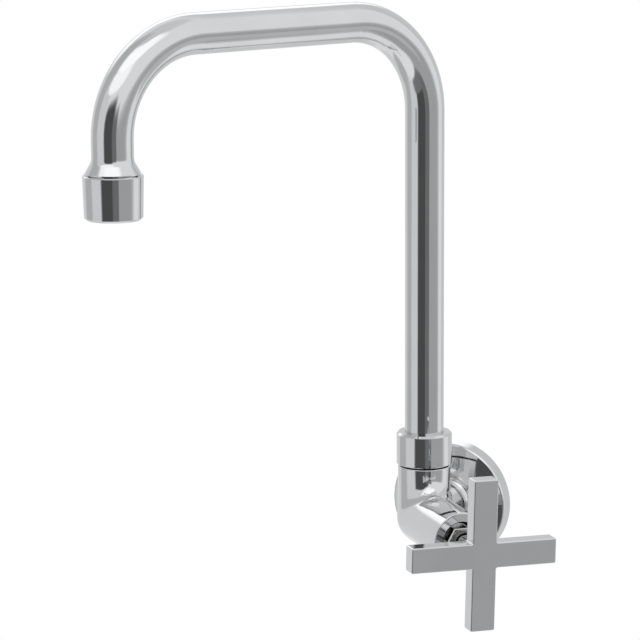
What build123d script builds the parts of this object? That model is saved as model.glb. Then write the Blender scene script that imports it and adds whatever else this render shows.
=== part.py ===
from build123d import *
from math import cos, pi, radians, sin, tan
import os

# Wall-mounted kitchen tap: swivel spout on top, quarter-turn cross handle at 45 degrees.
# Millimetres. The wall is the plane y = 0, the tap stands out towards -Y, and +Z is up.
# The origin is on the inlet axis, at the wall. Heights are above the centre of the body,
# where the outlet, valve and inlet axes meet, and depths run out along the valve axis.

# Axes
wall_to_axis = 37.5  # wall to the upright axis of the body
valve_turn = 45.0  # valve axis, from square to the wall towards +X
spout_turn = 27.5  # spout at rest, from square to the wall towards -X
closed_tilt = 1.4  # the closed cross stands this far off upright

# Fits
running = 0.05  # radial gap of a shaft in its hole
end_play = 0.05  # gap at a face that turns on another
thread_gap = 0.1  # radial gap between plain-drawn male and female threads
braze_gap = 0.03  # gap filled by braze or press fit
rosette_gap = 0.1  # rosette hole on the inlet neck
thread_lead = 1.0  # chamfer at the start of a thread

# Spout tube
tube_r = 9.525  # 3/4 inch tube
tube_wall = 1.0
bend_r = 44.5
spout_rise = 245.5  # to the centreline of the top run
spout_reach = 177.5  # upright axis to the aerator axis

# Outlet column of the body and its threaded rim
outlet_r = 12.9
outlet_top = 26.2
outlet_thread_r = 12.0  # M24 x 1
outlet_thread_length = 8.8
socket_r = 8.4
socket_depth = 17.0
outlet_bore_r = 6.0
outlet_floor_t = 2.5  # metal between the outlet bore and the inlet bore
inlet_bore_r = 6.5
outlet_bore_bottom = inlet_bore_r + outlet_floor_t
rim_top = outlet_top + outlet_thread_length

# Elbow and valve boss of the body; the boss widens a little towards its mouth
elbow_r = 13.4
boss_r = 13.8
boss_length = 49.2
mouth_r = 13.1
mouth_dish = 0.6  # depth of the dished end face at the recess
recess_r = 8.8
recess_chamfer = 0.5
recess_depth = 5.7
valve_bore_r = 7.4
seat_depth = 15.0
seat_r = 3.9
duct_r = 3.2
duct_rise = 3.0  # upper end of the duct above the bottom of the outlet bore
duct_inset = 7.0  # lower end of the duct past the valve seat
duct_lift = 1.1  # lower end of the duct above the wall of the valve bore

# Inlet neck of the body
shoulder_r = 12.2
shoulder_end = 21.0  # from the body centre towards the wall
neck_r = 10.6
undercut_r = 9.4
undercut_w = 1.2
inlet_thread_r = 10.48  # G1/2
inlet_thread_length = 14.0  # behind the wall
inlet_thread_start = 2.0  # in front of the wall
inlet_bore_over = 4.0  # drilled past the body centre

# Casting radii
blend_r = 8.0
rim_edge_r = 0.5

# Rosette
rosette_r = 30.5
rosette_front_r = 30.0
rosette_rim_depth = 7.2
rosette_depth = 10.6  # at the foot of the hub
rosette_dome_r = 110.0
rosette_wall = 1.0
rosette_edge_r = 1.2
rosette_hub_height = 3.0
rosette_fillet_r = 2.6
rosette_hole_r = neck_r + rosette_gap
rosette_hub_r = rosette_hole_r + rosette_wall

# Spout nut and what it traps
nut_r = 13.6
nut_gap = 0.9
nut_height = 15.9
nut_foot_chamfer = 0.3
nut_chamfer = 1.0
washer_t = 0.6
flange_r = 11.2
flange_t = 2.5
bush_t = 2.0
bush_split = 2.5
nut_bottom = outlet_top + nut_gap
nut_top = nut_bottom + nut_height
flange_bottom = rim_top + washer_t + end_play
flange_top = flange_bottom + flange_t
bush_top = flange_top + end_play + bush_t

# Ferrule at the foot of the tube
tube_seat = 1.4
ferrule_bore_r = 6.4
ferrule_plug = 6.0  # length inside the tube
ferrule_end_gap = 0.8  # above the floor of the socket
ferrule_grooves = (4.5, 10.5)  # below the rim
spigot_r = socket_r - running
tube_foot = flange_top - tube_seat
plug_r = tube_r - tube_wall - braze_gap

# O-rings and their grooves
ring_r = 0.69  # section radius
groove_depth = 1.4
groove_width = 2.0

# Aerator shell
shell_drop = 60.0  # centreline of the top run to the top of the shell
shell_height = 20.0
shell_r = 13.7
shell_foot_r = 13.2
shell_chamfer = 1.0
shell_top_chamfer = 0.5
shell_lip_r = 10.3
shell_lip_t = 1.4
aerator_thread_r = 11.0  # M22 x 1
aerator_thread_length = 8.0
shell_top = spout_rise - shell_drop
shell_bottom = shell_top - shell_height
thread_core_r = aerator_thread_r - thread_gap

# Flared end fitting
flare_r = 12.5
flare_angle = 30.0
flare_bend_r = 6.0
flare_lip = 0.5
flare_gap = 0.4
thread_relief_r = 10.2
tip_plug = 6.0
tip_bore_r = 7.2
tip_end = shell_top - aerator_thread_length
flare_bottom = shell_top + flare_gap
flare_swell = flare_bend_r * (1 - cos(radians(flare_angle)))
flare_run = (flare_r - tube_r - flare_swell) / tan(radians(flare_angle))
flare_top = flare_bottom + flare_lip + flare_run + flare_bend_r * sin(radians(flare_angle))

# Inside the aerator
gasket_t = 1.6
gasket_bore_r = 7.6
insert_r = 10.0
insert_wall = 1.0
insert_flange_t = 1.5
insert_deck_t = 1.6
jet_r = 0.6
jet_circle_r = 5.6
jet_count = 12
air_slot_w = 3.0
air_slot_h = 1.6
air_slot_drop = 1.5  # slot centre below the deck
air_slot_count = 6
filter_r = 7.0
filter_rim_t = 0.5
filter_dome = 1.2
mesh_t = 0.5
insert_top = tip_end - gasket_t
insert_bottom = shell_bottom + shell_lip_t + mesh_t

# Ceramic discs and the seal under them
seal_t = 2.0
seal_bore_r = 4.1
disc_r = 5.75
fixed_disc_t = 2.6
moving_disc_t = 2.4
port_r = 1.6
port_circle_r = 3.3
slot_depth = 0.8
fixed_disc_at = seat_depth + seal_t
moving_disc_at = fixed_disc_at + fixed_disc_t
moving_disc_top = moving_disc_at + moving_disc_t

# Headwork housing
seal_proud = 0.8
disc_bore_depth = 14.0
relief_r = 6.75
relief_rise = 2.7  # start of the relief, from the foot of the housing
relief_length = 13.0
window_w = 5.0
window_h = 3.6
window_rise = 3.4  # window centre above the moving disc
housing_groove_rise = 4.2  # ring groove above the shoulder of the bore
headwork_sink = 0.8  # thread ends this far below the floor of the recess
hex_flats = 12.0
hex_height = 6.3
hex_chamfer = 0.5
housing_bottom = seat_depth + seal_proud
housing_r = valve_bore_r - thread_gap
relief_start = housing_bottom + relief_rise
relief_end = relief_start + relief_length
shoulder_depth = housing_bottom + disc_bore_depth
housing_groove = shoulder_depth + housing_groove_rise
hex_bottom = boss_length - recess_depth - headwork_sink
hex_top = hex_bottom + hex_height

# Spindle
spindle_r = 4.0
foot_w = 3.0
foot_t = 2.4
collar_t = 2.0
groove_rises = (7.2, 11.7)  # ring grooves above the shoulder of the bore
clip_t = 0.8
clip_r = 5.1
clip_gap = 0.05
clip_groove_depth = 0.7
clip_mouth = 5.2
spline_rise = 1.65  # start of the spline above the clip
spline_tip_r = 3.3
spline_root_r = 2.9
spline_teeth = 18
spline_length = 13.0
clip_bottom = hex_top + end_play
spline_start = clip_bottom + clip_t + spline_rise
spline_end = spline_start + spline_length

# Handle stem, splined sleeve and grub screw
stem_rise = 4.0  # foot of the stem above the hexagon
stem_length = 17.0
stem_r = 5.0
stem_edge_r = 0.4
stem_plug_r = 4.0
stem_plug = 4.0
plug_hole_over = 0.3
sleeve_r = 4.1
sleeve_sink = 0.6  # foot of the sleeve inside the stem
sleeve_over = 1.5  # sleeve past the end of the spline
screw_r = 1.5  # M3
screw_length = 3.0
screw_sink = 0.3
screw_rise = 7.0  # screw above the foot of the stem
screw_key = 1.5
screw_key_depth = 1.2
dimple_gap = 0.1
stem_start = hex_top + stem_rise
sleeve_start = stem_start + sleeve_sink
sleeve_end = spline_end + sleeve_over
screw_at = stem_start + screw_rise

# Cross handle
cross_t = 8.0
cross_half = 36.5
cross_w = 12.2
cross_edge_r = 0.6
cross_corner_r = 0.8
cross_back = stem_start + stem_length

tolerance = 0.001  # for picking edges by place and radius

up = Vector(0, 0, 1)
body_centre = Vector(0, -wall_to_axis, 0)
valve_dir = Vector(sin(radians(valve_turn)), -cos(radians(valve_turn)), 0)
spout_dir = Vector(-sin(radians(spout_turn)), -cos(radians(spout_turn)), 0)
tip_foot = body_centre + spout_dir * spout_reach
duct_top = body_centre + up * (outlet_bore_bottom + duct_rise)
duct_foot = body_centre + valve_dir * (seat_depth + duct_inset) + up * (valve_bore_r + duct_lift)


def half_section(origin, outward, along):
    """Plane of a half profile: X is the radius, Y runs along the axis."""
    return Plane(origin=origin, x_dir=outward, z_dir=outward.cross(along))


def outlet_plane(height):
    """Level plane on the outlet axis; its X points along the spout."""
    return Plane(origin=body_centre + up * height, x_dir=spout_dir, z_dir=up)


def tip_plane(height):
    """Level plane on the aerator axis."""
    return Plane(origin=tip_foot + up * height, x_dir=spout_dir, z_dir=up)


def valve_plane(depth):
    """Plane square to the valve axis; its Y is up."""
    return Plane(origin=body_centre + valve_dir * depth, x_dir=up.cross(valve_dir), z_dir=valve_dir)


def rim(part, plane, radius):
    """The circular edge of a part that lies on a plane, round its origin."""

    def matches(edge):
        if edge.geom_type != GeomType.CIRCLE:
            return False
        offset = (edge.arc_center - plane.origin).length
        return abs(edge.radius - radius) < tolerance and offset < tolerance

    return part.edges().filter_by(matches)


def is_seam(edge):
    """True for the edges where two of the crossing barrels or the elbow meet."""
    if edge.geom_type == GeomType.CIRCLE:
        return tolerance < (edge.arc_center - body_centre).length < elbow_r
    return edge.geom_type == GeomType.BSPLINE


def star(tip_radius, root_radius, teeth):
    """Closed zigzag of a splined section."""
    points = []
    for i in range(2 * teeth):
        radius = tip_radius if i % 2 == 0 else root_radius
        points.append((radius * cos(pi * i / teeth), radius * sin(pi * i / teeth)))
    return points


outlet_axis = Axis(body_centre, up)
outlet_section = half_section(body_centre, spout_dir, up)
tip_axis = Axis(tip_foot, up)
tip_section = half_section(tip_foot, spout_dir, up)
valve_axis = Axis(body_centre, valve_dir)
valve_section = half_section(body_centre, up, valve_dir)
inlet_axis = Axis((0, 0, 0), (0, 1, 0))
inlet_section = half_section(Vector(0, 0, 0), Vector(1, 0, 0), Vector(0, 1, 0))
inlet_plane = Plane(origin=body_centre, x_dir=(1, 0, 0), z_dir=(0, 1, 0))
wall_plane = Plane(origin=(0, 0, 0), x_dir=(1, 0, 0), z_dir=(0, -1, 0))
screw_plane = Plane(
    origin=body_centre + valve_dir * screw_at - up * (stem_r - screw_sink),
    x_dir=valve_dir,
    z_dir=up,
)

os.makedirs("parts", exist_ok=True)

# Tap body: outlet column, valve boss and inlet neck that meet in a round elbow.
with BuildPart() as tap_body:
    with Locations(body_centre):
        Sphere(elbow_r)
    with BuildSketch(outlet_plane(0)):
        Circle(outlet_r)
    extrude(amount=outlet_top)
    with Locations(valve_plane(0)):
        Cone(elbow_r, boss_r, boss_length, align=(Align.CENTER, Align.CENTER, Align.MIN))
    with BuildSketch(inlet_plane):
        Circle(shoulder_r)
    extrude(amount=shoulder_end)
    fillet(tap_body.edges().filter_by(is_seam), blend_r)
    # Soft outer edges of the three barrels
    fillet(rim(tap_body, outlet_plane(outlet_top), outlet_r), rim_edge_r)
    fillet(rim(tap_body, valve_plane(boss_length), boss_r), rim_edge_r)
    fillet(rim(tap_body, inlet_plane.offset(shoulder_end), shoulder_r), rim_edge_r)
    # Threaded rim of the outlet
    with BuildSketch(outlet_plane(outlet_top)):
        Circle(outlet_thread_r - thread_gap)
    extrude(amount=outlet_thread_length)
    # Neck and threaded inlet, with an undercut where the rosette ends
    with BuildSketch(inlet_section):
        with BuildLine():
            Polyline(
                (0, shoulder_end - wall_to_axis),
                (neck_r, shoulder_end - wall_to_axis),
                (neck_r, -inlet_thread_start - undercut_w),
                (undercut_r, -inlet_thread_start - undercut_w),
                (undercut_r, -inlet_thread_start),
                (inlet_thread_r, -inlet_thread_start),
                (inlet_thread_r, inlet_thread_length - thread_lead),
                (inlet_thread_r - thread_lead, inlet_thread_length),
                (0, inlet_thread_length),
                close=True,
            )
        make_face()
    revolve(axis=inlet_axis)
    # Socket for the spout and the passage under it
    with BuildSketch(outlet_section):
        with BuildLine():
            Polyline(
                (0, rim_top),
                (socket_r, rim_top),
                (socket_r, rim_top - socket_depth),
                (outlet_bore_r, rim_top - socket_depth),
                (outlet_bore_r, outlet_bore_bottom),
                (0, outlet_bore_bottom),
                close=True,
            )
        make_face()
    revolve(axis=outlet_axis, mode=Mode.SUBTRACT)
    # Dished end face, recess round the hexagon, headwork bore and valve seat
    with BuildSketch(valve_section):
        with BuildLine():
            Polyline(
                (0, boss_length),
                (mouth_r, boss_length),
                (recess_r + recess_chamfer, boss_length - mouth_dish),
                (recess_r, boss_length - mouth_dish - recess_chamfer),
                (recess_r, boss_length - recess_depth),
                (valve_bore_r, boss_length - recess_depth),
                (valve_bore_r, seat_depth),
                (seat_r, seat_depth),
                (seat_r, 0),
                (0, 0),
                close=True,
            )
        make_face()
    revolve(axis=valve_axis, mode=Mode.SUBTRACT)
    # Inlet bore up to the elbow
    with BuildSketch(inlet_plane.offset(-inlet_bore_over)):
        Circle(inlet_bore_r)
    extrude(amount=inlet_bore_over + wall_to_axis + inlet_thread_length, mode=Mode.SUBTRACT)
    # Slanted duct from the headwork bore up to the outlet passage
    with BuildSketch(Plane(origin=duct_top, z_dir=duct_foot - duct_top)):
        Circle(duct_r)
    extrude(amount=(duct_foot - duct_top).length, mode=Mode.SUBTRACT)

# Rosette: a pressed, slightly domed dish with a short hub that slides on the inlet neck.
with BuildPart() as rosette:
    with BuildSketch(inlet_section):
        with BuildLine():
            Polyline((0, 0), (rosette_r, 0), (rosette_front_r, -rosette_rim_depth))
            RadiusArc(
                (rosette_front_r, -rosette_rim_depth),
                (rosette_hub_r, -rosette_depth),
                rosette_dome_r,
            )
            Polyline(
                (rosette_hub_r, -rosette_depth),
                (rosette_hub_r, -rosette_depth - rosette_hub_height),
                (0, -rosette_depth - rosette_hub_height),
                (0, 0),
            )
        make_face()
    revolve(axis=inlet_axis)
    fillet(rim(rosette, wall_plane.offset(rosette_rim_depth), rosette_front_r), rosette_edge_r)
    fillet(rim(rosette, wall_plane.offset(rosette_depth), rosette_hub_r), rosette_fillet_r)
    # Hollow back, one wall thickness behind the face
    with BuildSketch(inlet_section):
        with BuildLine():
            Polyline(
                (0, 0),
                (rosette_r - rosette_wall, 0),
                (rosette_front_r - rosette_wall, rosette_wall - rosette_rim_depth),
            )
            RadiusArc(
                (rosette_front_r - rosette_wall, rosette_wall - rosette_rim_depth),
                (rosette_hub_r, rosette_wall - rosette_depth),
                rosette_dome_r - rosette_wall,
            )
            Polyline(
                (rosette_hub_r, rosette_wall - rosette_depth),
                (0, rosette_wall - rosette_depth),
                (0, 0),
            )
        make_face()
    revolve(axis=inlet_axis, mode=Mode.SUBTRACT)
    fillet(
        rim(rosette, wall_plane.offset(rosette_rim_depth - rosette_wall), rosette_front_r - rosette_wall),
        rosette_edge_r - rosette_wall,
    )
    with BuildSketch(wall_plane):
        Circle(rosette_hole_r)
    extrude(amount=rosette_depth + rosette_hub_height, mode=Mode.SUBTRACT)

# Spout nut: plain round collar, threaded below and with a lip that holds the spout down.
with BuildPart() as spout_nut:
    with BuildSketch(outlet_section):
        with BuildLine():
            Polyline(
                (outlet_thread_r, nut_bottom),
                (nut_r, nut_bottom),
                (nut_r, nut_top),
                (tube_r + running, nut_top),
                (tube_r + running, bush_top),
                (outlet_thread_r, bush_top),
                close=True,
            )
        make_face()
    revolve(axis=outlet_axis)
    chamfer(rim(spout_nut, outlet_plane(nut_bottom), nut_r), nut_foot_chamfer)
    chamfer(rim(spout_nut, outlet_plane(nut_top), nut_r), nut_chamfer)

# Thrust washer between the rim of the body and the foot of the spout.
with BuildPart() as thrust_washer:
    with BuildSketch(outlet_plane(rim_top)):
        Circle(flange_r)
        Circle(socket_r, mode=Mode.SUBTRACT)
    extrude(amount=washer_t)

# Split bush: a plastic ring, sprung open to pass the tube, under the lip of the nut.
with BuildPart() as split_bush:
    with BuildSketch(outlet_plane(bush_top)):
        Circle(outlet_thread_r - thread_gap)
        Circle(tube_r + running, mode=Mode.SUBTRACT)
        with Locations((outlet_thread_r, 0)):
            Rectangle(2 * outlet_thread_r, bush_split, mode=Mode.SUBTRACT)
    extrude(amount=-bush_t)

# Ferrule brazed to the foot of the tube, with its flange and two O-ring grooves.
with BuildPart() as spout_ferrule:
    with BuildSketch(outlet_section):
        with BuildLine():
            Polyline(
                (ferrule_bore_r, rim_top - socket_depth + ferrule_end_gap),
                (spigot_r, rim_top - socket_depth + ferrule_end_gap),
                (spigot_r, flange_bottom),
                (flange_r, flange_bottom),
                (flange_r, flange_top),
                (tube_r + braze_gap, flange_top),
                (tube_r + braze_gap, tube_foot),
                (plug_r, tube_foot),
                (plug_r, tube_foot + ferrule_plug),
                (ferrule_bore_r, tube_foot + ferrule_plug),
                close=True,
            )
        make_face()
        for drop in ferrule_grooves:
            with Locations((spigot_r, rim_top - drop)):
                Rectangle(2 * groove_depth, groove_width, mode=Mode.SUBTRACT)
    revolve(axis=outlet_axis)

# Two O-rings that seal the ferrule in the socket of the body.
with BuildPart() as spout_o_rings:
    with BuildSketch(outlet_section):
        for drop in ferrule_grooves:
            with Locations((spigot_r - groove_depth + ring_r, rim_top - drop)):
                Circle(ring_r)
    revolve(axis=outlet_axis)

# Spout tube: up, over and down again through two equal bends.
with BuildPart() as spout_tube:
    with BuildLine(outlet_section) as route:
        FilletPolyline(
            (0, tube_foot),
            (0, spout_rise),
            (spout_reach, spout_rise),
            (spout_reach, flare_top),
            radius=bend_r,
        )
    with BuildSketch(outlet_plane(tube_foot)):
        Circle(tube_r)
        Circle(tube_r - tube_wall, mode=Mode.SUBTRACT)
    sweep()

# End fitting: a plug brazed in the tube, a flare and the male aerator thread.
with BuildPart() as end_fitting:
    with BuildSketch(tip_section):
        with BuildLine():
            Polyline(
                (flare_r, flare_bottom + flare_lip),
                (flare_r, flare_bottom),
                (thread_relief_r, flare_bottom),
                (thread_relief_r, shell_top - thread_lead),
                (thread_core_r, shell_top - thread_lead),
                (thread_core_r, tip_end),
                (tip_bore_r, tip_end),
                (tip_bore_r, flare_top + tip_plug),
                (plug_r, flare_top + tip_plug),
                (plug_r, flare_top),
                (tube_r, flare_top),
            )
            ThreePointArc(
                (tube_r, flare_top),
                (
                    tube_r + flare_bend_r * (1 - cos(radians(flare_angle / 2))),
                    flare_top - flare_bend_r * sin(radians(flare_angle / 2)),
                ),
                (tube_r + flare_swell, flare_bottom + flare_lip + flare_run),
            )
            Line(
                (tube_r + flare_swell, flare_bottom + flare_lip + flare_run),
                (flare_r, flare_bottom + flare_lip),
            )
        make_face()
    revolve(axis=tip_axis)

# Aerator shell: slightly tapered sleeve with a turned-in lip at the foot.
with BuildPart() as aerator_shell:
    with BuildSketch(tip_section):
        with BuildLine():
            Polyline(
                (shell_lip_r, shell_bottom),
                (shell_foot_r, shell_bottom),
                (shell_r, shell_top),
                (aerator_thread_r, shell_top),
                (aerator_thread_r, shell_bottom + shell_lip_t),
                (shell_lip_r, shell_bottom + shell_lip_t),
                close=True,
            )
        make_face()
    revolve(axis=tip_axis)
    chamfer(rim(aerator_shell, tip_plane(shell_bottom), shell_foot_r), shell_chamfer)
    chamfer(rim(aerator_shell, tip_plane(shell_top), shell_r), shell_top_chamfer)

# Aerator gasket, squeezed between the end fitting and the insert.
with BuildPart() as aerator_gasket:
    with BuildSketch(tip_plane(tip_end)):
        Circle(thread_core_r)
        Circle(gasket_bore_r, mode=Mode.SUBTRACT)
    extrude(amount=-gasket_t)

# Aerator insert: flanged cage with a ring of jet holes, air slots and a nozzle skirt.
with BuildPart() as aerator_insert:
    with BuildSketch(tip_section):
        with BuildLine():
            Polyline(
                (0, insert_top),
                (thread_core_r, insert_top),
                (thread_core_r, insert_top - insert_flange_t),
                (insert_r, insert_top - insert_flange_t),
                (insert_r, insert_bottom),
                (insert_r - insert_wall, insert_bottom),
                (insert_r - insert_wall, insert_top - insert_deck_t),
                (0, insert_top - insert_deck_t),
                close=True,
            )
        make_face()
    revolve(axis=tip_axis)
    with BuildSketch(tip_plane(insert_top)):
        with PolarLocations(jet_circle_r, jet_count):
            Circle(jet_r)
    extrude(amount=-insert_deck_t, mode=Mode.SUBTRACT)
    # Air slots through the skirt, below the deck
    with Locations(tip_plane(insert_top - insert_deck_t - air_slot_drop)):
        with PolarLocations(insert_r, air_slot_count):
            Box(4 * insert_wall, air_slot_w, air_slot_h, mode=Mode.SUBTRACT)

# Domed wire filter that lies on the insert, inside the gasket.
with BuildPart() as aerator_filter:
    with BuildSketch(tip_section):
        with BuildLine():
            Polyline(
                (0, insert_top + filter_rim_t + filter_dome),
                (0, insert_top),
                (filter_r, insert_top),
                (filter_r, insert_top + filter_rim_t),
            )
            TangentArc(
                (0, insert_top + filter_rim_t + filter_dome),
                (filter_r, insert_top + filter_rim_t),
                tangent=(1, 0),
            )
        make_face()
    revolve(axis=tip_axis)

# Outlet mesh that rests on the lip of the shell.
with BuildPart() as outlet_mesh:
    with BuildSketch(tip_plane(shell_bottom + shell_lip_t)):
        Circle(thread_core_r)
    extrude(amount=mesh_t)

# Headwork housing: threaded brass sleeve with outlet windows and a hexagon in the mouth.
with BuildPart() as headwork_housing:
    with BuildSketch(valve_section):
        with BuildLine():
            Polyline(
                (disc_r + running, housing_bottom),
                (housing_r, housing_bottom),
                (housing_r, relief_start),
                (relief_r, relief_start),
                (relief_r, relief_end),
                (housing_r, relief_end),
                (housing_r, hex_bottom),
                (spindle_r + running, hex_bottom),
                (spindle_r + running, shoulder_depth),
                (disc_r + running, shoulder_depth),
                close=True,
            )
        make_face()
        with Locations((housing_r, housing_groove)):
            Rectangle(2 * groove_depth, groove_width, mode=Mode.SUBTRACT)
    revolve(axis=valve_axis)
    with Locations(valve_plane(moving_disc_top + window_rise)):
        Box(window_w, 4 * housing_r, window_h, mode=Mode.SUBTRACT)
    with BuildSketch(valve_plane(hex_bottom)):
        RegularPolygon(hex_flats / 2, 6, major_radius=False)
        Circle(spindle_r + running, mode=Mode.SUBTRACT)
    extrude(amount=hex_top - hex_bottom)
    hex_face = headwork_housing.faces().sort_by(valve_axis)[-1]
    chamfer(hex_face.outer_wire().edges(), hex_chamfer)

# O-ring that seals the housing in the boss.
with BuildPart() as headwork_o_ring:
    with BuildSketch(valve_section):
        with Locations((housing_r - groove_depth + ring_r, housing_groove)):
            Circle(ring_r)
    revolve(axis=valve_axis)

# Rubber seal pressed on the valve seat by the fixed disc.
with BuildPart() as seat_seal:
    with BuildSketch(valve_plane(seat_depth)):
        Circle(disc_r)
        Circle(seal_bore_r, mode=Mode.SUBTRACT)
    extrude(amount=seal_t)

# Fixed ceramic disc, its two ports upright.
with BuildPart() as fixed_disc:
    with BuildSketch(valve_plane(fixed_disc_at)):
        Circle(disc_r)
        with Locations((0, port_circle_r), (0, -port_circle_r)):
            Circle(port_r, mode=Mode.SUBTRACT)
    extrude(amount=fixed_disc_t)

# Turning ceramic disc: its ports lie level when shut, and a slot takes the spindle.
with BuildPart() as moving_disc:
    with BuildSketch(valve_plane(moving_disc_at)):
        Circle(disc_r)
        with Locations((port_circle_r, 0), (-port_circle_r, 0)):
            Circle(port_r, mode=Mode.SUBTRACT)
    extrude(amount=moving_disc_t)
    with BuildSketch(valve_plane(moving_disc_top)):
        Rectangle(foot_w + 2 * running, 2 * disc_r)
    extrude(amount=-slot_depth, mode=Mode.SUBTRACT)

# Spindle: a bar that drives the disc, a retained collar, two ring grooves and a spline.
with BuildPart() as spindle:
    with BuildSketch(valve_plane(moving_disc_top - slot_depth)):
        Circle(disc_r)
        Rectangle(foot_w, 2 * disc_r, mode=Mode.INTERSECT)
    extrude(amount=slot_depth + foot_t)
    with BuildSketch(valve_section):
        with BuildLine():
            Polyline(
                (0, moving_disc_top + foot_t),
                (spindle_r, moving_disc_top + foot_t),
                (spindle_r, shoulder_depth - end_play - collar_t),
                (disc_r, shoulder_depth - end_play - collar_t),
                (disc_r, shoulder_depth - end_play),
                (spindle_r, shoulder_depth - end_play),
                (spindle_r, spline_start),
                (0, spline_start),
                close=True,
            )
        make_face()
        for rise in groove_rises:
            with Locations((spindle_r, shoulder_depth + rise)):
                Rectangle(2 * groove_depth, groove_width, mode=Mode.SUBTRACT)
        with Locations((spindle_r, clip_bottom + clip_t / 2)):
            Rectangle(2 * clip_groove_depth, clip_t + 2 * clip_gap, mode=Mode.SUBTRACT)
    revolve(axis=valve_axis)
    with BuildSketch(valve_plane(spline_start)):
        with BuildLine():
            Polyline(*star(spline_tip_r, spline_root_r, spline_teeth), close=True)
        make_face()
    extrude(amount=spline_end - spline_start)
    # Dimple under the grub screw
    with BuildSketch(screw_plane):
        Circle(screw_r + dimple_gap)
    extrude(amount=screw_length + dimple_gap, mode=Mode.SUBTRACT)

# Two O-rings on the spindle.
with BuildPart() as spindle_o_rings:
    with BuildSketch(valve_section):
        for rise in groove_rises:
            with Locations((spindle_r - groove_depth + ring_r, shoulder_depth + rise)):
                Circle(ring_r)
    revolve(axis=valve_axis)

# Open clip in the spindle groove, resting on the hexagon.
with BuildPart() as spindle_clip:
    with BuildSketch(valve_plane(clip_bottom)):
        Circle(clip_r)
        Circle(spindle_r - clip_groove_depth + clip_gap, mode=Mode.SUBTRACT)
        with Locations((0, -clip_r)):
            Rectangle(clip_mouth, 2 * clip_r, mode=Mode.SUBTRACT)
    extrude(amount=clip_t)

# Stem of the handle: a turned sleeve, plugged into the back of the cross.
with BuildPart() as handle_stem:
    with BuildSketch(valve_section):
        with BuildLine():
            Polyline(
                (sleeve_r + braze_gap, stem_start),
                (stem_r, stem_start),
                (stem_r, cross_back),
                (stem_plug_r, cross_back),
                (stem_plug_r, cross_back + stem_plug),
                (0, cross_back + stem_plug),
                (0, sleeve_end),
                (sleeve_r + braze_gap, sleeve_end),
                close=True,
            )
        make_face()
    revolve(axis=valve_axis)
    fillet(rim(handle_stem, valve_plane(stem_start), stem_r), stem_edge_r)
    with BuildSketch(screw_plane):
        Circle(screw_r + running)
    extrude(amount=screw_length, both=True, mode=Mode.SUBTRACT)

# Splined plastic sleeve between the spindle and the stem.
with BuildPart() as spline_sleeve:
    with BuildSketch(valve_plane(sleeve_start)):
        Circle(sleeve_r)
    extrude(amount=sleeve_end - sleeve_start)
    with BuildSketch(valve_plane(sleeve_start)):
        with BuildLine():
            Polyline(*star(spline_tip_r + running, spline_root_r + running, spline_teeth), close=True)
        make_face()
    extrude(amount=spline_end + end_play - sleeve_start, mode=Mode.SUBTRACT)
    with BuildSketch(screw_plane):
        Circle(screw_r + running)
    extrude(amount=screw_length, mode=Mode.SUBTRACT)

# Grub screw in the underside of the stem, with a hexagon socket.
with BuildPart() as grub_screw:
    with BuildSketch(screw_plane):
        Circle(screw_r)
    extrude(amount=screw_length)
    with BuildSketch(screw_plane):
        RegularPolygon(screw_key / 2, 6, major_radius=False)
    extrude(amount=screw_key_depth, mode=Mode.SUBTRACT)

# Cross handle: four flat arms with rounded edges.
with BuildPart() as cross_handle:
    with BuildSketch(valve_plane(cross_back)) as cross_outline:
        Rectangle(2 * cross_half, cross_w, rotation=-closed_tilt)
        Rectangle(cross_w, 2 * cross_half, rotation=-closed_tilt)
        fillet(cross_outline.vertices(), cross_corner_r)
    extrude(amount=cross_t)
    fillet(cross_handle.faces().sort_by(valve_axis)[-1].edges(), cross_edge_r)
    fillet(cross_handle.faces().sort_by(valve_axis)[0].edges(), cross_edge_r)
    with BuildSketch(valve_plane(cross_back)):
        Circle(stem_plug_r + braze_gap)
    extrude(amount=stem_plug + plug_hole_over, mode=Mode.SUBTRACT)

finished = {
    "tap_body": tap_body,
    "rosette": rosette,
    "spout_nut": spout_nut,
    "thrust_washer": thrust_washer,
    "split_bush": split_bush,
    "spout_ferrule": spout_ferrule,
    "spout_o_rings": spout_o_rings,
    "spout_tube": spout_tube,
    "end_fitting": end_fitting,
    "aerator_shell": aerator_shell,
    "aerator_gasket": aerator_gasket,
    "aerator_insert": aerator_insert,
    "aerator_filter": aerator_filter,
    "outlet_mesh": outlet_mesh,
    "headwork_housing": headwork_housing,
    "headwork_o_ring": headwork_o_ring,
    "seat_seal": seat_seal,
    "fixed_disc": fixed_disc,
    "moving_disc": moving_disc,
    "spindle": spindle,
    "spindle_o_rings": spindle_o_rings,
    "spindle_clip": spindle_clip,
    "handle_stem": handle_stem,
    "spline_sleeve": spline_sleeve,
    "grub_screw": grub_screw,
    "cross_handle": cross_handle,
}
for name, piece in finished.items():
    piece.part.label = name
    export_step(piece.part, f"parts/{name}.step")
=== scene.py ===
from math import cos, pi, radians, sin

import bpy
from mathutils import Matrix, Vector, kdtree


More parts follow.
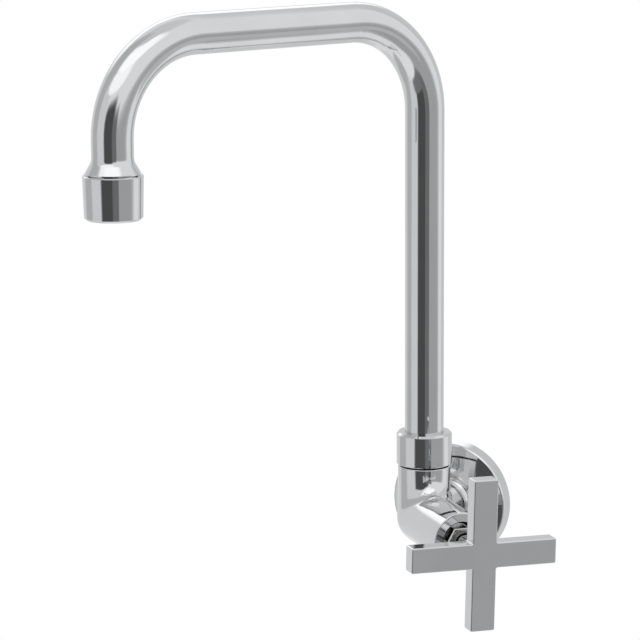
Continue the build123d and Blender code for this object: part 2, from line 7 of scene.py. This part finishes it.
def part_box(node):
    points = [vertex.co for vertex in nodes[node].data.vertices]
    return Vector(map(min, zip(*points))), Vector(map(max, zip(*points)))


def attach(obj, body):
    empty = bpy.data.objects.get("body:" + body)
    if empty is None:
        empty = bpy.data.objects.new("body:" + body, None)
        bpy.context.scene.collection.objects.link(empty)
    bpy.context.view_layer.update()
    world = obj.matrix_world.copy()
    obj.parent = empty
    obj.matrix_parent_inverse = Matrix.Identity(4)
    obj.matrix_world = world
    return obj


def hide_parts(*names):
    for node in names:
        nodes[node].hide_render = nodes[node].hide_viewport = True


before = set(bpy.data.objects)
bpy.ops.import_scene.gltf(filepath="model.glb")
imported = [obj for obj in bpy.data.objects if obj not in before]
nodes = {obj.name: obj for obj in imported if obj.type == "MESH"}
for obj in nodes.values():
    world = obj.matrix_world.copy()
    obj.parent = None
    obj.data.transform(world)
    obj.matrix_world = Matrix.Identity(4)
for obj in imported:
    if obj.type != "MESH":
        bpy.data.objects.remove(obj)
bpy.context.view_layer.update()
bpy.ops.object.select_all(action="DESELECT")

# Camera: a long lens to the right of the spout, a little above the tap and
# looking slightly down on it. Its values were fitted to the tap's outline.
view_turn = radians(25.2)
view_dip = radians(11.04)
view_roll = radians(-0.20)
sensor_mm = 36
focal_px = 2843
frame_px = 640
shift_px = 29
distance = 1.402
off_axis = -0.0367
above_axis = 0.0967
body_axis = Vector((0, -0.0375, 0))

across = Vector((cos(view_turn), sin(view_turn), 0))
ahead = Vector((-sin(view_turn), cos(view_turn), 0))
upward = Vector((0, 0, 1))
stand = body_axis + across * off_axis
stand += ahead * (above_axis * sin(view_dip) - distance * cos(view_dip))
stand += upward * (distance * sin(view_dip) + above_axis * cos(view_dip))
look = ahead * cos(view_dip) - upward * sin(view_dip)
lift = upward * cos(view_dip) + ahead * sin(view_dip)
right = across * cos(view_roll) + lift * sin(view_roll)
top = lift * cos(view_roll) - across * sin(view_roll)

camera = bpy.data.objects.new("camera", bpy.data.cameras.new("camera"))
bpy.context.scene.collection.objects.link(camera)
camera.matrix_world = Matrix.Translation(stand) @ Matrix((right, top, -look)).transposed().to_4x4()
camera.data.sensor_width = sensor_mm
camera.data.lens = sensor_mm * focal_px / frame_px
camera.data.shift_x = -shift_px / frame_px
camera.data.clip_start = 0.05
camera.data.clip_end = 50
bpy.context.scene.camera = camera
bpy.context.scene.view_settings.view_transform = "Standard"

# White studio: plain white to the camera and softer for the light on matt
# surfaces. Metal mirrors its softboxes and cloths, which are listed below.
# Places are in degrees round the tap, and each card covers those before it.
world = bpy.data.worlds.new("white_studio")
bpy.context.scene.world = world
world.use_nodes = True
tree = world.node_tree
tree.nodes.clear()
wall_level = 0.95
white_level = 1.0
matt_level = 0.6
middle_turn = -65
card_list = (
    # name, turn to the right of the camera, rise, half width, half height, level, softness
    ("ceiling_cloth", middle_turn, 90, 400, 24, 0.76, 0.3),
    ("left_cloth", -102, 0, 27, 75, 0.57, 0.4),
    ("front_wall_left", -62, -5, 20, 40, 0.80, 0.3),
    ("left_rear_cloth", -145, -5, 20, 45, 0.80, 0.3),
    ("right_rear_cloth", -210, 0, 34, 50, 0.73, 0.3),
    ("rear_softbox", -165, 30, 28, 12, 1.40, 0.3),
    ("right_low_cloth", 45, -28, 38, 27, 0.46, 0.3),
    ("right_side_cloth", 82, -24, 24, 7, 0.60, 0.3),
    ("low_front_cloth", -10, -68, 45, 20, 1.00, 0.3),
    ("top_softbox", -8, 59, 50, 12, 1.40, 0.4),
    ("front_softbox", -28, 38, 36, 8, 1.30, 0.3),
    ("camera_tent", -17, -9, 24, 29, 0.09, 0.2),
    ("tent_foot", -15, -38, 28, 8, 0.22, 0.4),
    ("tent_side", 14, -14, 10, 20, 0.19, 0.4),
)
direction = tree.nodes.new("ShaderNodeTexCoord")
swung = tree.nodes.new("ShaderNodeVectorRotate")
swung.rotation_type = "Z_AXIS"
swung.inputs["Angle"].default_value = -view_turn - radians(middle_turn)
tree.links.new(direction.outputs["Generated"], swung.inputs["Vector"])
compass = tree.nodes.new("ShaderNodeSeparateXYZ")
tree.links.new(swung.outputs[0], compass.inputs[0])


def calculate(tree, operation, *terms):
    """Math node: each term is a number or the output that feeds it."""
    step = tree.nodes.new("ShaderNodeMath")
    step.operation = operation
    for place, term in enumerate(terms):
        if isinstance(term, (int, float)):
            step.inputs[place].default_value = term
        else:
            tree.links.new(term, step.inputs[place])
    return step.outputs[0]


facing = calculate(tree, "MULTIPLY", compass.outputs["Y"], -1)
turn = calculate(tree, "ARCTAN2", compass.outputs["X"], facing)
turn = calculate(tree, "MULTIPLY_ADD", turn, 180 / pi, middle_turn)
rise = calculate(tree, "MULTIPLY", calculate(tree, "ARCSINE", compass.outputs["Z"]), 180 / pi)
level = None
for name, at_turn, at_rise, half_turn, half_rise, card_level, soft in card_list:
    from_turn = calculate(tree, "MULTIPLY_ADD", turn, 1 / half_turn, -at_turn / half_turn)
    from_rise = calculate(tree, "MULTIPLY_ADD", rise, 1 / half_rise, -at_rise / half_rise)
    from_turn = calculate(tree, "POWER", calculate(tree, "MULTIPLY", from_turn, from_turn), 2)
    from_rise = calculate(tree, "POWER", calculate(tree, "MULTIPLY", from_rise, from_rise), 2)
    cover = tree.nodes.new("ShaderNodeMapRange")
    cover.interpolation_type = "SMOOTHSTEP"
    cover.inputs["From Min"].default_value = (1 + soft) ** 4
    cover.inputs["From Max"].default_value = (1 - soft) ** 4
    tree.links.new(calculate(tree, "ADD", from_turn, from_rise), cover.inputs["Value"])
    painted = tree.nodes.new("ShaderNodeMix")
    painted.label = name
    painted.inputs["B"].default_value = card_level
    tree.links.new(cover.outputs[0], painted.inputs["Factor"])
    if level is None:
        painted.inputs["A"].default_value = wall_level
    else:
        tree.links.new(level, painted.inputs["A"])
    level = painted.outputs["Result"]

path = tree.nodes.new("ShaderNodeLightPath")
seen = calculate(tree, "MAXIMUM", path.outputs["Is Camera Ray"], path.outputs["Is Transmission Ray"])
matt_light = tree.nodes.new("ShaderNodeMix")
matt_light.inputs["A"].default_value = matt_level
matt_light.inputs["B"].default_value = white_level
tree.links.new(seen, matt_light.inputs["Factor"])
mirrored = tree.nodes.new("ShaderNodeMix")
tree.links.new(path.outputs["Is Glossy Ray"], mirrored.inputs["Factor"])
tree.links.new(matt_light.outputs["Result"], mirrored.inputs["A"])
tree.links.new(level, mirrored.inputs["B"])
glow = tree.nodes.new("ShaderNodeBackground")
glow.inputs["Color"].default_value = (1, 1, 1, 1)
tree.links.new(mirrored.outputs["Result"], glow.inputs["Strength"])
studio_out = tree.nodes.new("ShaderNodeOutputWorld")
tree.links.new(glow.outputs[0], studio_out.inputs["Surface"])

# Soft key lamp above and to the left, and a weaker fill from the right, for
# the matt parts and the floor.
lamp_aim = Vector((-0.02, -0.11, 0.10))
for lamp_name, lamp_at, lamp_size, lamp_power in (
    ("key_lamp", (-1.1, -1.3, 2.0), 1.4, 22),
    ("fill_lamp", (1.6, -0.9, 1.2), 1.6, 9),
):
    lamp = bpy.data.objects.new(lamp_name, bpy.data.lights.new(lamp_name, "AREA"))
    lamp.data.size = lamp_size
    lamp.data.energy = lamp_power
    lamp.location = lamp_at
    lamp.rotation_euler = (lamp_aim - lamp.location).to_track_quat("-Z", "Y").to_euler()
    lamp.visible_glossy = False
    bpy.context.scene.collection.objects.link(lamp)

# Floor: pale matt board well below the tap, which takes its shadow and fades
# to plain white away from it. The metal mirrors the studio's cloths instead.
floor_r = 0.55
fade_start = 0.25
fade_end = 0.50
bpy.ops.mesh.primitive_circle_add(vertices=96, radius=floor_r, fill_type="NGON", location=(0, -0.1, -0.32))
floor = bpy.context.object
floor.name = "floor"
floor.visible_glossy = False
board = bpy.data.materials.new("floor_board")
board.use_nodes = True
tree = board.node_tree
tree.nodes.clear()
board_place = tree.nodes.new("ShaderNodeTexCoord")
board_length = tree.nodes.new("ShaderNodeVectorMath")
board_length.operation = "LENGTH"
tree.links.new(board_place.outputs["Object"], board_length.inputs[0])
board_fade = tree.nodes.new("ShaderNodeMapRange")
board_fade.interpolation_type = "SMOOTHSTEP"
board_fade.inputs["From Min"].default_value = fade_start
board_fade.inputs["From Max"].default_value = fade_end
tree.links.new(board_length.outputs["Value"], board_fade.inputs["Value"])
board_white = tree.nodes.new("ShaderNodeMath")
board_white.operation = "MULTIPLY"
tree.links.new(board_fade.outputs[0], board_white.inputs[0])
path = tree.nodes.new("ShaderNodeLightPath")
seen = calculate(tree, "MAXIMUM", path.outputs["Is Camera Ray"], path.outputs["Is Transmission Ray"])
tree.links.new(seen, board_white.inputs[1])
board_matt = tree.nodes.new("ShaderNodeBsdfDiffuse")
board_matt.inputs["Color"].default_value = (0.90, 0.90, 0.90, 1)
board_glow = tree.nodes.new("ShaderNodeEmission")
board_mix = tree.nodes.new("ShaderNodeMixShader")
tree.links.new(board_white.outputs[0], board_mix.inputs["Fac"])
tree.links.new(board_matt.outputs[0], board_mix.inputs[1])
tree.links.new(board_glow.outputs[0], board_mix.inputs[2])
board_out = tree.nodes.new("ShaderNodeOutputMaterial")
tree.links.new(board_mix.outputs[0], board_out.inputs["Surface"])
floor.data.materials.append(board)

# Tap body: one brass casting, machined and then polished and chrome-plated outside.
# The bores are raw brass painted near black, which is painted shade for their dark
# inside. The screwed inlet is cut off here and made again below as a real thread.
def dress(name, material):
    """Puts one material on every slot of a CAD node."""
    mesh = nodes[name].data
    if not mesh.materials:
        mesh.materials.append(material)
    for place in range(len(mesh.materials)):
        mesh.materials[place] = material


def noise(tree, place, scale, detail):
    """Noise on the piece's own coordinates."""
    grain = tree.nodes.new("ShaderNodeTexNoise")
    grain.inputs["Scale"].default_value = scale
    grain.inputs["Detail"].default_value = detail
    tree.links.new(place, grain.inputs["Vector"])
    return grain.outputs[0]


def between(tree, value, low, high, from_low=0.3, from_high=0.7):
    """Spreads the middle of a noise between two values."""
    spread = tree.nodes.new("ShaderNodeMapRange")
    spread.inputs["From Min"].default_value = from_low
    spread.inputs["From Max"].default_value = from_high
    spread.inputs["To Min"].default_value = low
    spread.inputs["To Max"].default_value = high
    tree.links.new(value, spread.inputs["Value"])
    return spread.outputs[0]


def surface(name, dark, light, tone_scale, metallic):
    """New material whose colour drifts between two tones; returns it with its tree and coordinates."""
    finish = bpy.data.materials.new(name)
    finish.use_nodes = True
    tree = finish.node_tree
    shader = tree.nodes["Principled BSDF"]
    shader.inputs["Metallic"].default_value = metallic
    place = tree.nodes.new("ShaderNodeTexCoord").outputs["Object"]
    tint = tree.nodes.new("ShaderNodeMix")
    tint.data_type = "RGBA"
    tint.inputs["A"].default_value = (*dark, 1)
    tint.inputs["B"].default_value = (*light, 1)
    tree.links.new(between(tree, noise(tree, place, tone_scale, 3), 0, 1), tint.inputs["Factor"])
    tree.links.new(tint.outputs["Result"], shader.inputs["Base Color"])
    return finish, tree, place


def relief(tree, height, depth):
    """Bump of a given depth in metres, set on the shader."""
    bump = tree.nodes.new("ShaderNodeBump")
    bump.inputs["Distance"].default_value = depth
    tree.links.new(height, bump.inputs["Height"])
    tree.links.new(bump.outputs[0], tree.nodes["Principled BSDF"].inputs["Normal"])


def chrome(name, wave_scale, wave_depth, hair_scale, dull):
    """Polished chrome plate: slow waves left by the polishing mop, and hair scratches."""
    plate, tree, place = surface(name, (0.655, 0.665, 0.675), (0.695, 0.703, 0.710), 45, 1.0)
    hair = between(tree, noise(tree, place, hair_scale, 4), 0.6 * dull, 1.4 * dull)
    tree.links.new(hair, tree.nodes["Principled BSDF"].inputs["Roughness"])
    relief(tree, noise(tree, place, wave_scale, 1), wave_depth)
    return plate


def raw_brass(name, dark, light):
    """Machined brass that plating has not reached, dull, in the two tones given; the bores get near-black
    painted shade from it.
    """
    metal, tree, place = surface(name, dark, light, 300, 1.0)
    stain = between(tree, noise(tree, place, 900, 5), 0.28, 0.52)
    tree.links.new(stain, tree.nodes["Principled BSDF"].inputs["Roughness"])
    relief(tree, noise(tree, place, 2500, 3), 0.00001)
    return metal


body_chrome = chrome("body_chrome", 60, 0.00005, 900, 0.05)
# Near-black tones for the bores: painted shade for their dark inside, far darker than brass.
painted_shade_bore = raw_brass("painted_shade_bore", (0.012, 0.010, 0.008), (0.045, 0.038, 0.028))
dress("tap_body", body_chrome)
touch = 0.000001
thread_start = -0.0021
inlet_bore_r = 0.0066
inlet_bore_floor = -0.0045
outlet_bore_r = 0.00845
outlet_bore_floor = 0.0085
outlet_thread_root_r = 0.00846
outlet_thread_crest_r = 0.01195
outlet_thread_foot = 0.0263
valve_bore_r = 0.00885
valve_bore_near = 0.002
valve_bore_far = 0.0474
casting = bpy.data.objects.new("tap_body_casting", nodes["tap_body"].data.copy())
bpy.context.scene.collection.objects.link(casting)
casting.select_set(True)
bpy.context.view_layer.objects.active = casting
bpy.ops.object.mode_set(mode="EDIT")
bpy.ops.mesh.select_all(action="SELECT")
bpy.ops.mesh.remove_doubles(threshold=touch)
bpy.ops.mesh.bisect(plane_co=(0, thread_start, 0), plane_no=(0, 1, 0), use_fill=True, clear_outer=True)
bpy.ops.object.mode_set(mode="OBJECT")
# Each face that the cut left alone takes its corner normals back from the CAD mesh,
# so that the mirror stays smooth.
plain = nodes["tap_body"].data
plain_faces = kdtree.KDTree(len(plain.polygons))
for face in plain.polygons:
    plain_faces.insert(face.center, face.index)
plain_faces.balance()
normals = [None] * len(casting.data.loops)
for face in casting.data.polygons:
    index, gap = plain_faces.find(face.center)[1:]
    for corner in face.loop_indices:
        at = casting.data.vertices[casting.data.loops[corner].vertex_index].co
        normals[corner] = face.normal
        if gap < touch:
            same = min(
                plain.polygons[index].loop_indices,
                key=lambda loop: (plain.vertices[plain.loops[loop].vertex_index].co - at).length,
            )
            normals[corner] = plain.corner_normals[same].vector
casting.data.normals_split_custom_set(normals)
valve_way = Vector((sin(radians(45)), -cos(radians(45)), 0))
# Faces inside the bores and on the outlet thread under the nut take the near-black painted shade.
casting.data.materials.append(painted_shade_bore)
for face in casting.data.polygons:
    from_centre = face.center - body_axis
    inlet_off = Vector((from_centre.x, from_centre.z)).length
    outlet_off = Vector((from_centre.x, from_centre.y)).length
    valve_deep = from_centre.dot(valve_way)
    valve_off = (from_centre - valve_way * valve_deep).length
    in_inlet = inlet_off < inlet_bore_r and from_centre.y > inlet_bore_floor
    in_outlet = outlet_off < outlet_bore_r and from_centre.z > outlet_bore_floor
    in_valve = valve_off < valve_bore_r and valve_bore_near < valve_deep < valve_bore_far
    on_thread = outlet_thread_root_r < outlet_off < outlet_thread_crest_r
    outlet_thread = on_thread and from_centre.z > outlet_thread_foot
    if in_inlet or in_outlet or in_valve or outlet_thread:
        face.material_index = 1
casting.select_set(False)
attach(casting, "tap")
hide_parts("tap_body")

# Inlet thread: G1/2 pipe thread cut on the neck of the casting, with a chamfer at its
# mouth and the water bore through it. It is raw brass and screws into the wall.
pitch = 0.001814
crest_r = 0.01047
root_r = 0.00934
flat = 0.0003
flank = pitch / 2 - flat
thread_end = 0.014
thread_turns = 11
thread_steps = 40
lead_r = 0.0107
lead_chamfer = 0.0013
bore_r = 0.0065
bore_length = 0.03
bore_middle = 0.006
first_y = thread_start - pitch
bpy.ops.mesh.primitive_plane_add(size=0.001, location=(root_r, first_y, 0))
thread = bpy.context.object
thread.name = "inlet_thread"
bpy.ops.object.transform_apply(location=True, rotation=False, scale=False)
bpy.ops.object.mode_set(mode="EDIT")
bpy.ops.mesh.merge(type="CENTER")
for out, on in ((0, flat), (crest_r - root_r, flank), (0, flat), (root_r - crest_r, flank)):
    bpy.ops.mesh.extrude_region_move(TRANSFORM_OT_translate={"value": (out, on, 0)})
bpy.ops.object.mode_set(mode="OBJECT")
winding = thread.modifiers.new("winding", "SCREW")
winding.axis = "Y"
winding.screw_offset = pitch
winding.iterations = thread_turns
winding.steps = thread_steps
winding.render_steps = thread_steps
winding.use_merge_vertices = True
winding.merge_threshold = touch
bpy.ops.object.modifier_apply(modifier=winding.name)
bpy.ops.object.mode_set(mode="EDIT")
bpy.ops.mesh.select_all(action="SELECT")
bpy.ops.mesh.bisect(plane_co=(0, thread_start, 0), plane_no=(0, 1, 0), use_fill=True, clear_inner=True)
bpy.ops.mesh.select_all(action="SELECT")
bpy.ops.mesh.bisect(plane_co=(0, thread_end, 0), plane_no=(0, 1, 0), use_fill=True, clear_outer=True)
bpy.ops.mesh.select_all(action="SELECT")
bpy.ops.mesh.remove_doubles(threshold=touch)
bpy.ops.mesh.normals_make_consistent(inside=False)
bpy.ops.object.mode_set(mode="OBJECT")
bpy.ops.mesh.primitive_cylinder_add(
    vertices=96,
    radius=lead_r,
    depth=thread_end - thread_start,
    location=(0, (thread_end + thread_start) / 2, 0),
    rotation=(pi / 2, 0, 0),
)
lead = bpy.context.object
bpy.ops.object.transform_apply(location=True, rotation=True, scale=False)
bpy.ops.object.mode_set(mode="EDIT")
bpy.ops.mesh.select_mode(type="FACE")
bpy.ops.mesh.select_all(action="DESELECT")
bpy.ops.object.mode_set(mode="OBJECT")
for face in lead.data.polygons:
    face.select = face.normal.y > 0.99
bpy.ops.object.mode_set(mode="EDIT")
bpy.ops.mesh.bevel(offset=lead_chamfer, segments=1, affect="EDGES")
bpy.ops.mesh.select_mode(type="VERT")
bpy.ops.object.mode_set(mode="OBJECT")
bpy.ops.mesh.primitive_cylinder_add(
    vertices=64,
    radius=bore_r,
    depth=bore_length,
    location=(0, bore_middle, 0),
    rotation=(pi / 2, 0, 0),
)
bore = bpy.context.object
bpy.ops.object.transform_apply(location=True, rotation=True, scale=False)
for cutter, way in ((lead, "INTERSECT"), (bore, "DIFFERENCE")):
    cut = thread.modifiers.new("cut", "BOOLEAN")
    cut.operation = way
    cut.object = cutter
    cut.solver = "EXACT"
    bpy.context.view_layer.objects.active = thread
    bpy.ops.object.modifier_apply(modifier=cut.name)
    bpy.data.objects.remove(cutter)
bpy.ops.object.select_all(action="DESELECT")
thread.select_set(True)
bpy.context.view_layer.objects.active = thread
bpy.ops.object.shade_smooth_by_angle(angle=radians(25))
thread.data.materials.clear()
thread.data.materials.append(raw_brass("thread_brass", (0.36, 0.25, 0.11), (0.60, 0.46, 0.22)))
thread.select_set(False)
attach(thread, "tap")

# Rosette: a dish pressed from brass sheet and chrome-plated, with faint ripples from
# the press. It slides on the neck and covers the hole in the wall.
dress("rosette", chrome("rosette_chrome", 75, 0.00005, 1000, 0.05))

# Spout nut: a turned brass collar, chrome-plated, that screws over the rim of the body
# and holds the swivelling spout down.
dress("spout_nut", chrome("nut_chrome", 90, 0.00002, 1200, 0.04))


# Thrust washer and split bush: slippery white acetal, cut from rod, which let the
# spout turn without wearing the brass.
def plastic(name, dark, light, rough, coarse):
    """Moulded or cut plastic with a fine pebbled skin."""
    skin, tree, place = surface(name, dark, light, 120, 0.0)
    gloss = between(tree, noise(tree, place, 700, 4), rough - 0.06, rough + 0.06)
    tree.links.new(gloss, tree.nodes["Principled BSDF"].inputs["Roughness"])
    relief(tree, noise(tree, place, coarse, 3), 0.00002)
    return skin


bush_acetal = plastic("bush_acetal", (0.80, 0.80, 0.77), (0.88, 0.88, 0.85), 0.36, 2200)
dress("thrust_washer", bush_acetal)
dress("split_bush", bush_acetal)


# Ferrule: turned brass, brazed to the foot of the spout tube. The lathe left fine
# rings on it, and the torch browned it in patches.
def turned(name, dark, light, rough, axis_at, axis_way, groove_depth):
    """Lathe-turned metal: rings round the piece's own axis."""
    metal, tree, place = surface(name, dark, light, 160, 1.0)
    on_axis = tree.nodes.new("ShaderNodeMapping")
    on_axis.vector_type = "TEXTURE"
    on_axis.inputs["Location"].default_value = axis_at
    on_axis.inputs["Rotation"].default_value = axis_way.to_track_quat("Z", "Y").to_euler()
    tree.links.new(place, on_axis.inputs["Vector"])
    marks = []
    for kind in ("BANDS", "RINGS"):
        mark = tree.nodes.new("ShaderNodeTexWave")
        mark.wave_type = kind
        if kind == "BANDS":
            mark.bands_direction = "Z"
        else:
            mark.rings_direction = "Z"
        mark.inputs["Scale"].default_value = 1300
        mark.inputs["Distortion"].default_value = 1.5
        mark.inputs["Detail Scale"].default_value = 2
        tree.links.new(on_axis.outputs[0], mark.inputs["Vector"])
        marks.append(mark.outputs["Fac"])
    rings = calculate(tree, "ADD", *marks)
    rings = calculate(tree, "MULTIPLY", rings, 0.5)
    gloss = calculate(tree, "MULTIPLY_ADD", rings, 0.12, rough - 0.06)
    tree.links.new(gloss, tree.nodes["Principled BSDF"].inputs["Roughness"])
    relief(tree, rings, groove_depth)
    return metal


ferrule_brass = turned(
    "ferrule_brass", (0.46, 0.31, 0.13), (0.70, 0.53, 0.25), 0.26, body_axis, upward, 0.000006
)
dress("spout_ferrule", ferrule_brass)


# O-rings, seal and gasket: matt black nitrile rubber, uneven in its gloss, with the
# grain of the mould.
def rubber(name):
    """Matt black rubber."""
    black, tree, place = surface(name, (0.016, 0.016, 0.017), (0.040, 0.040, 0.042), 250, 0.0)
    shader = tree.nodes["Principled BSDF"]
    shader.inputs["Specular IOR Level"].default_value = 0.35
    tree.links.new(between(tree, noise(tree, place, 500, 4), 0.50, 0.78), shader.inputs["Roughness"])
    relief(tree, noise(tree, place, 1800, 4), 0.00003)
    return black


ring_rubber = rubber("ring_rubber")
for ring in ("spout_o_rings", "headwork_o_ring", "spindle_o_rings", "seat_seal", "aerator_gasket"):
    dress(ring, ring_rubber)

# Spout tube: three-quarter inch brass tube, bent twice, polished by hand and
# chrome-plated. The polish keeps slight waves.
dress("spout_tube", chrome("spout_chrome", 55, 0.00003, 1100, 0.035))

# End fitting: a turned brass plug with a flare, brazed into the end of the spout and
# plated with it.
dress("end_fitting", chrome("fitting_chrome", 90, 0.00002, 1200, 0.04))

# Aerator shell: a turned brass sleeve, chrome-plated, with fainter waves than the
# spout's. It screws on the end fitting.
dress("aerator_shell", chrome("shell_chrome", 80, 0.00002, 1200, 0.035))

# Aerator insert: grey moulded plastic that mixes air into the water.
dress("aerator_insert", plastic("insert_plastic", (0.49, 0.51, 0.54), (0.58, 0.60, 0.63), 0.42, 1500))


# Aerator filter: fine stainless wire cloth, woven over and under and pressed to a dome.
def wire_cloth(name, wire_pitch):
    """Woven steel wire: two crossed sets of raised wires, a pitch apart."""
    cloth, tree, place = surface(name, (0.42, 0.42, 0.43), (0.60, 0.60, 0.61), 400, 1.0)
    sets = []
    for way in ("X", "Y"):
        # The bands of a wave texture stand pi / (10 * scale) apart.
        wires = tree.nodes.new("ShaderNodeTexWave")
        wires.bands_direction = way
        wires.inputs["Scale"].default_value = pi / (10 * wire_pitch)
        tree.links.new(place, wires.inputs["Vector"])
        sets.append(wires.outputs["Fac"])
    woven = calculate(tree, "MAXIMUM", *sets)
    tree.links.new(between(tree, woven, 0.55, 0.22, 0, 1), tree.nodes["Principled BSDF"].inputs["Roughness"])
    relief(tree, woven, 0.00012)
    return cloth


dress("aerator_filter", wire_cloth("filter_wire_cloth", 0.0006))

# Outlet mesh: stainless wires woven over and under, lying on the lip of the shell. One
# wire is drawn and copied to a set, and a copy of the set is laid across it.
wire_r = 0.0001
wire_wave = 0.00011
wire_pitch = 0.0009
wires_each_side = 11
wire_reach = 12
mesh_low, mesh_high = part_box("outlet_mesh")
mesh_at = (mesh_low + mesh_high) / 2
mesh_r = 0.0107
bpy.ops.mesh.primitive_circle_add(
    vertices=6,
    radius=wire_r,
    location=mesh_at + Vector((-wire_reach * wire_pitch, -wires_each_side * wire_pitch, wire_wave)),
    rotation=(0, pi / 2, 0),
)
weave = bpy.context.object
weave.name = "outlet_mesh_weave"
bpy.ops.object.transform_apply(location=True, rotation=True, scale=False)
bpy.ops.object.mode_set(mode="EDIT")
for step in range(4 * wire_reach):
    slope = -1 if step % 4 < 2 else 1
    bpy.ops.mesh.extrude_region_move(
        TRANSFORM_OT_translate={"value": (wire_pitch / 2, 0, slope * wire_wave)}
    )
bpy.ops.mesh.select_all(action="SELECT")
for row in range(2 * wires_each_side):
    bpy.ops.mesh.duplicate_move(TRANSFORM_OT_translate={"value": (0, wire_pitch, 0)})
    bpy.ops.transform.resize(value=(1, 1, -1), center_override=mesh_at)
bpy.ops.mesh.select_all(action="SELECT")
bpy.ops.mesh.duplicate_move(TRANSFORM_OT_translate={"value": (0, 0, 0)})
bpy.ops.transform.rotate(value=pi / 2, orient_axis="Z", center_override=mesh_at)
bpy.ops.transform.resize(value=(1, 1, -1), center_override=mesh_at)
bpy.ops.mesh.select_all(action="DESELECT")
bpy.ops.object.mode_set(mode="OBJECT")
for point in weave.data.vertices:
    point.select = (point.co - mesh_at).xy.length > mesh_r
bpy.ops.object.mode_set(mode="EDIT")
bpy.ops.mesh.delete(type="VERT")
bpy.ops.mesh.select_all(action="SELECT")
bpy.ops.mesh.fill_holes(sides=8)
bpy.ops.mesh.select_all(action="SELECT")
bpy.ops.mesh.normals_make_consistent(inside=False)
bpy.ops.object.mode_set(mode="OBJECT")
bpy.ops.object.shade_smooth_by_angle(angle=radians(70))
wire_steel, tree, place = surface("wire_steel", (0.42, 0.42, 0.43), (0.60, 0.60, 0.61), 900, 1.0)
drawn = between(tree, noise(tree, place, 3000, 2), 0.20, 0.38)
tree.links.new(drawn, tree.nodes["Principled BSDF"].inputs["Roughness"])
relief(tree, noise(tree, place, 6000, 2), 0.000004)
weave.data.materials.append(wire_steel)
weave.select_set(False)
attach(weave, "spout")
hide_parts("outlet_mesh")

# Headwork housing: turned brass with a thin nickel flash, screwed into the boss by its
# hexagon. Tool rings show on it, and it is duller than the chrome round it.
housing_nickel = turned(
    "housing_nickel", (0.50, 0.50, 0.49), (0.64, 0.635, 0.62), 0.20, body_axis, valve_way, 0.000003
)
dress("headwork_housing", housing_nickel)


# Ceramic discs: lapped alumina, off-white with a fine speckle, smooth and slightly
# glossy all over.
lapped, tree, place = surface("lapped_ceramic", (0.82, 0.81, 0.77), (0.93, 0.92, 0.89), 1500, 0.0)
shader = tree.nodes["Principled BSDF"]
shader.inputs["Coat Weight"].default_value = 0.25
shader.inputs["Coat Roughness"].default_value = 0.08
tree.links.new(between(tree, noise(tree, place, 2200, 4), 0.10, 0.24), shader.inputs["Roughness"])
relief(tree, noise(tree, place, 4000, 2), 0.000003)
dress("fixed_disc", lapped)
dress("moving_disc", lapped)

# Spindle: turned and splined brass with a nickel flash, which carries the handle's
# turn to the disc.
spindle_nickel = turned(
    "spindle_nickel", (0.42, 0.415, 0.405), (0.58, 0.57, 0.555), 0.30, body_axis, valve_way, 0.000005
)
dress("spindle", spindle_nickel)


# Spindle clip and grub screw: plain stainless spring steel, blanked and turned, with a
# faint grain.
def plain_steel(name, grain_scale):
    """Plain stainless steel with a fine grain."""
    steel, tree, place = surface(name, (0.34, 0.34, 0.35), (0.50, 0.50, 0.51), 500, 1.0)
    grain = noise(tree, place, grain_scale, 5)
    tree.links.new(between(tree, grain, 0.22, 0.42), tree.nodes["Principled BSDF"].inputs["Roughness"])
    relief(tree, grain, 0.000008)
    return steel


dress("spindle_clip", plain_steel("clip_steel", 1800))
dress("grub_screw", plain_steel("screw_steel", 2400))

# Splined sleeve: white acetal, moulded on the spline of the spindle.
dress("spline_sleeve", plastic("sleeve_acetal", (0.78, 0.78, 0.74), (0.87, 0.87, 0.84), 0.38, 1800))

# Handle stem: a turned brass sleeve, chrome-plated, pressed into the back of the cross.
dress("handle_stem", chrome("stem_chrome", 90, 0.00002, 1200, 0.04))

# Cross handle: four flat arms milled from brass, linished flat, polished and plated.
dress("cross_handle", chrome("cross_chrome", 50, 0.00003, 1000, 0.05))
